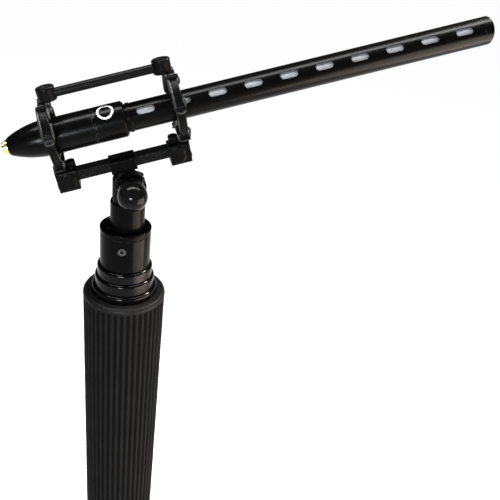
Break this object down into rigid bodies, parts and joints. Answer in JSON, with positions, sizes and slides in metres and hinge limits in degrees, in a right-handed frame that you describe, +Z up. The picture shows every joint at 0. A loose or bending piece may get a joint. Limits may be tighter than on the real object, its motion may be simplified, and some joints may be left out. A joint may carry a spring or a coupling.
{
  "type": "boom pole with shotgun microphone",
  "caption": "Telescopic boom pole with ribbed foam grip, twist-lock collars and a tilting swivel; an elastic shock mount carries a slotted shotgun microphone.",
  "frame": {"origin": "centre of the pole's butt face, at the mouth of its threaded hole", "axes": "+Z up along the pole, +X the way the microphone points (its axis is tilted 14.8 degrees above +X), the swivel thumb knob faces -Y"},
  "size_m": [0.2349, 0.046, 0.58],
  "materials": {
    "foam": "ribbed closed-cell foam, matt charcoal",
    "rubber": "moulded rubber, matt",
    "elastic": "ribbed elastic band, satin black",
    "pole_tube": "black anodised tube, satin",
    "collar": "gloss black turned aluminium",
    "sleeve": "semi-gloss black turned aluminium",
    "swivel": "satin black anodised aluminium",
    "knob": "high-gloss black",
    "screw": "black oxide steel",
    "mount_plastic": "moulded black nylon, fine grain",
    "rail": "satin black anodised extrusion",
    "mic_shell": "satin black anodised aluminium",
    "gauze": "woven steel gauze",
    "gold": "gold plated",
    "plastic_inner": "natural acetal",
    "board": "green circuit board with black components",
    "capsule": "satin capsule can"
  },
  "bodies": {
    "grip": {"grip_tube": "pole_tube", "foam_grip": "foam", "grip_shoulder": "rubber", "grip_end_ring": "rubber", "butt_cap": "rubber", "butt_insert": "screw", "butt_bumper": "rubber", "collet_lower": "plastic_inner"},
    "collar_lower": {"lock_collar_lower": "collar"},
    "second_section": {"tube_second": "pole_tube", "guide_plug_second": "plastic_inner", "collet_middle": "plastic_inner"},
    "collar_middle": {"lock_collar_middle": "collar"},
    "third_section": {"tube_third": "pole_tube", "guide_plug_third": "plastic_inner", "collet_upper": "plastic_inner"},
    "collar_upper": {"lock_collar_upper": "collar"},
    "fourth_section": {"tube_fourth": "pole_tube", "guide_plug_fourth": "plastic_inner", "head_sleeve": "sleeve", "head_stud": "screw", "stud_grub_screws": "screw"},
    "swivel": {"swivel_base": "swivel", "pivot_nut": "screw"},
    "knob": {"swivel_knob": "knob", "pivot_screw": "screw", "knob_washer": "screw"},
    "tilt_head": {"saddle": "swivel", "saddle_grub_screw": "screw"},
    "mount_frame": {"rail": "rail", "upper_rod": "rail"},
    "microphone": {"mic_tail": "mic_shell", "mic_body": "mic_shell", "mic_neck_ring": "mic_shell", "mic_tube": "mic_shell", "mic_front_cap": "mic_shell", "slot_gauze": "gauze", "front_gauze": "gauze", "output_jack": "gold", "jack_nut": "gold", "preamp_board": "board", "capsule": "capsule", "capsule_ring": "rubber"},
    "rear_end": {"hoop_rear": "mount_plastic", "rail_block_rear": "mount_plastic", "rod_clamp_rear": "mount_plastic", "rod_screw_rear": "screw", "hoop_screw_rear": "screw", "elastic_rear": "elastic"},
    "rear_thumb": {"thumb_screw_rear": "mount_plastic"},
    "front_end": {"hoop_front": "mount_plastic", "rail_block_front": "mount_plastic", "rod_clamp_front": "mount_plastic", "rod_screw_front": "screw", "hoop_screw_front": "screw", "elastic_front": "elastic"},
    "front_thumb": {"thumb_screw_front": "mount_plastic"}
  },
  "joints": [
    {"name": "collar_lower_twist", "type": "hinge", "parent": "grip", "child": "collar_lower", "pos_m": [0, 0, 0.43], "axis": [0, 0, 1], "range_deg": [0, 90]},
    {"name": "second_section_slide", "type": "slide", "parent": "grip", "child": "second_section", "axis": [0, 0, 1], "range_m": [0, 0.33]},
    {"name": "collar_middle_twist", "type": "hinge", "parent": "second_section", "child": "collar_middle", "pos_m": [0, 0, 0.438], "axis": [0, 0, 1], "range_deg": [0, 90]},
    {"name": "third_section_slide", "type": "slide", "parent": "second_section", "child": "third_section", "axis": [0, 0, 1], "range_m": [0, 0.32]},
    {"name": "collar_upper_twist", "type": "hinge", "parent": "third_section", "child": "collar_upper", "pos_m": [0, 0, 0.445], "axis": [0, 0, 1], "range_deg": [0, 90]},
    {"name": "fourth_section_slide", "type": "slide", "parent": "third_section", "child": "fourth_section", "axis": [0, 0, 1], "range_m": [0, 0.31]},
    {"name": "head_pan", "type": "hinge", "parent": "fourth_section", "child": "swivel", "pos_m": [0.0008, 0, 0.48], "axis": [0, 0, 1], "range_deg": [-180, 180]},
    {"name": "knob_turn", "type": "hinge", "parent": "swivel", "child": "knob", "pos_m": [0.0017, -0.006, 0.4923], "axis": [0, -1, 0], "range_deg": [0, 270]},
    {"name": "head_tilt", "type": "hinge", "parent": "swivel", "child": "tilt_head", "pos_m": [0.0017, 0, 0.4923], "axis": [0, -1, 0], "range_deg": [-80, 25]},
    {"name": "rail_slide", "type": "slide", "parent": "tilt_head", "child": "mount_frame", "axis": [0.9668, 0, 0.2554], "range_m": [-0.009, 0.009]},
    {"name": "rear_end_slide", "type": "slide", "parent": "mount_frame", "child": "rear_end", "axis": [-0.9668, 0, -0.2554], "range_m": [0, 0.004]},
    {"name": "rear_thumb_turn", "type": "hinge", "parent": "rear_end", "child": "rear_thumb", "pos_m": [-0.02746, 0, 0.50321], "axis": [-0.2554, 0, 0.9668], "range_deg": [0, 270]},
    {"name": "front_end_slide", "type": "slide", "parent": "mount_frame", "child": "front_end", "axis": [0.9668, 0, 0.2554], "range_m": [0, 0.004]},
    {"name": "front_thumb_turn", "type": "hinge", "parent": "front_end", "child": "front_thumb", "pos_m": [0.02234, 0, 0.51637], "axis": [-0.2554, 0, 0.9668], "range_deg": [0, 270]},
    {"name": "mic_slide", "type": "slide", "parent": "mount_frame", "child": "microphone", "axis": [0.9668, 0, 0.2554], "range_m": [-0.02, 0.0015]}
  ]
}
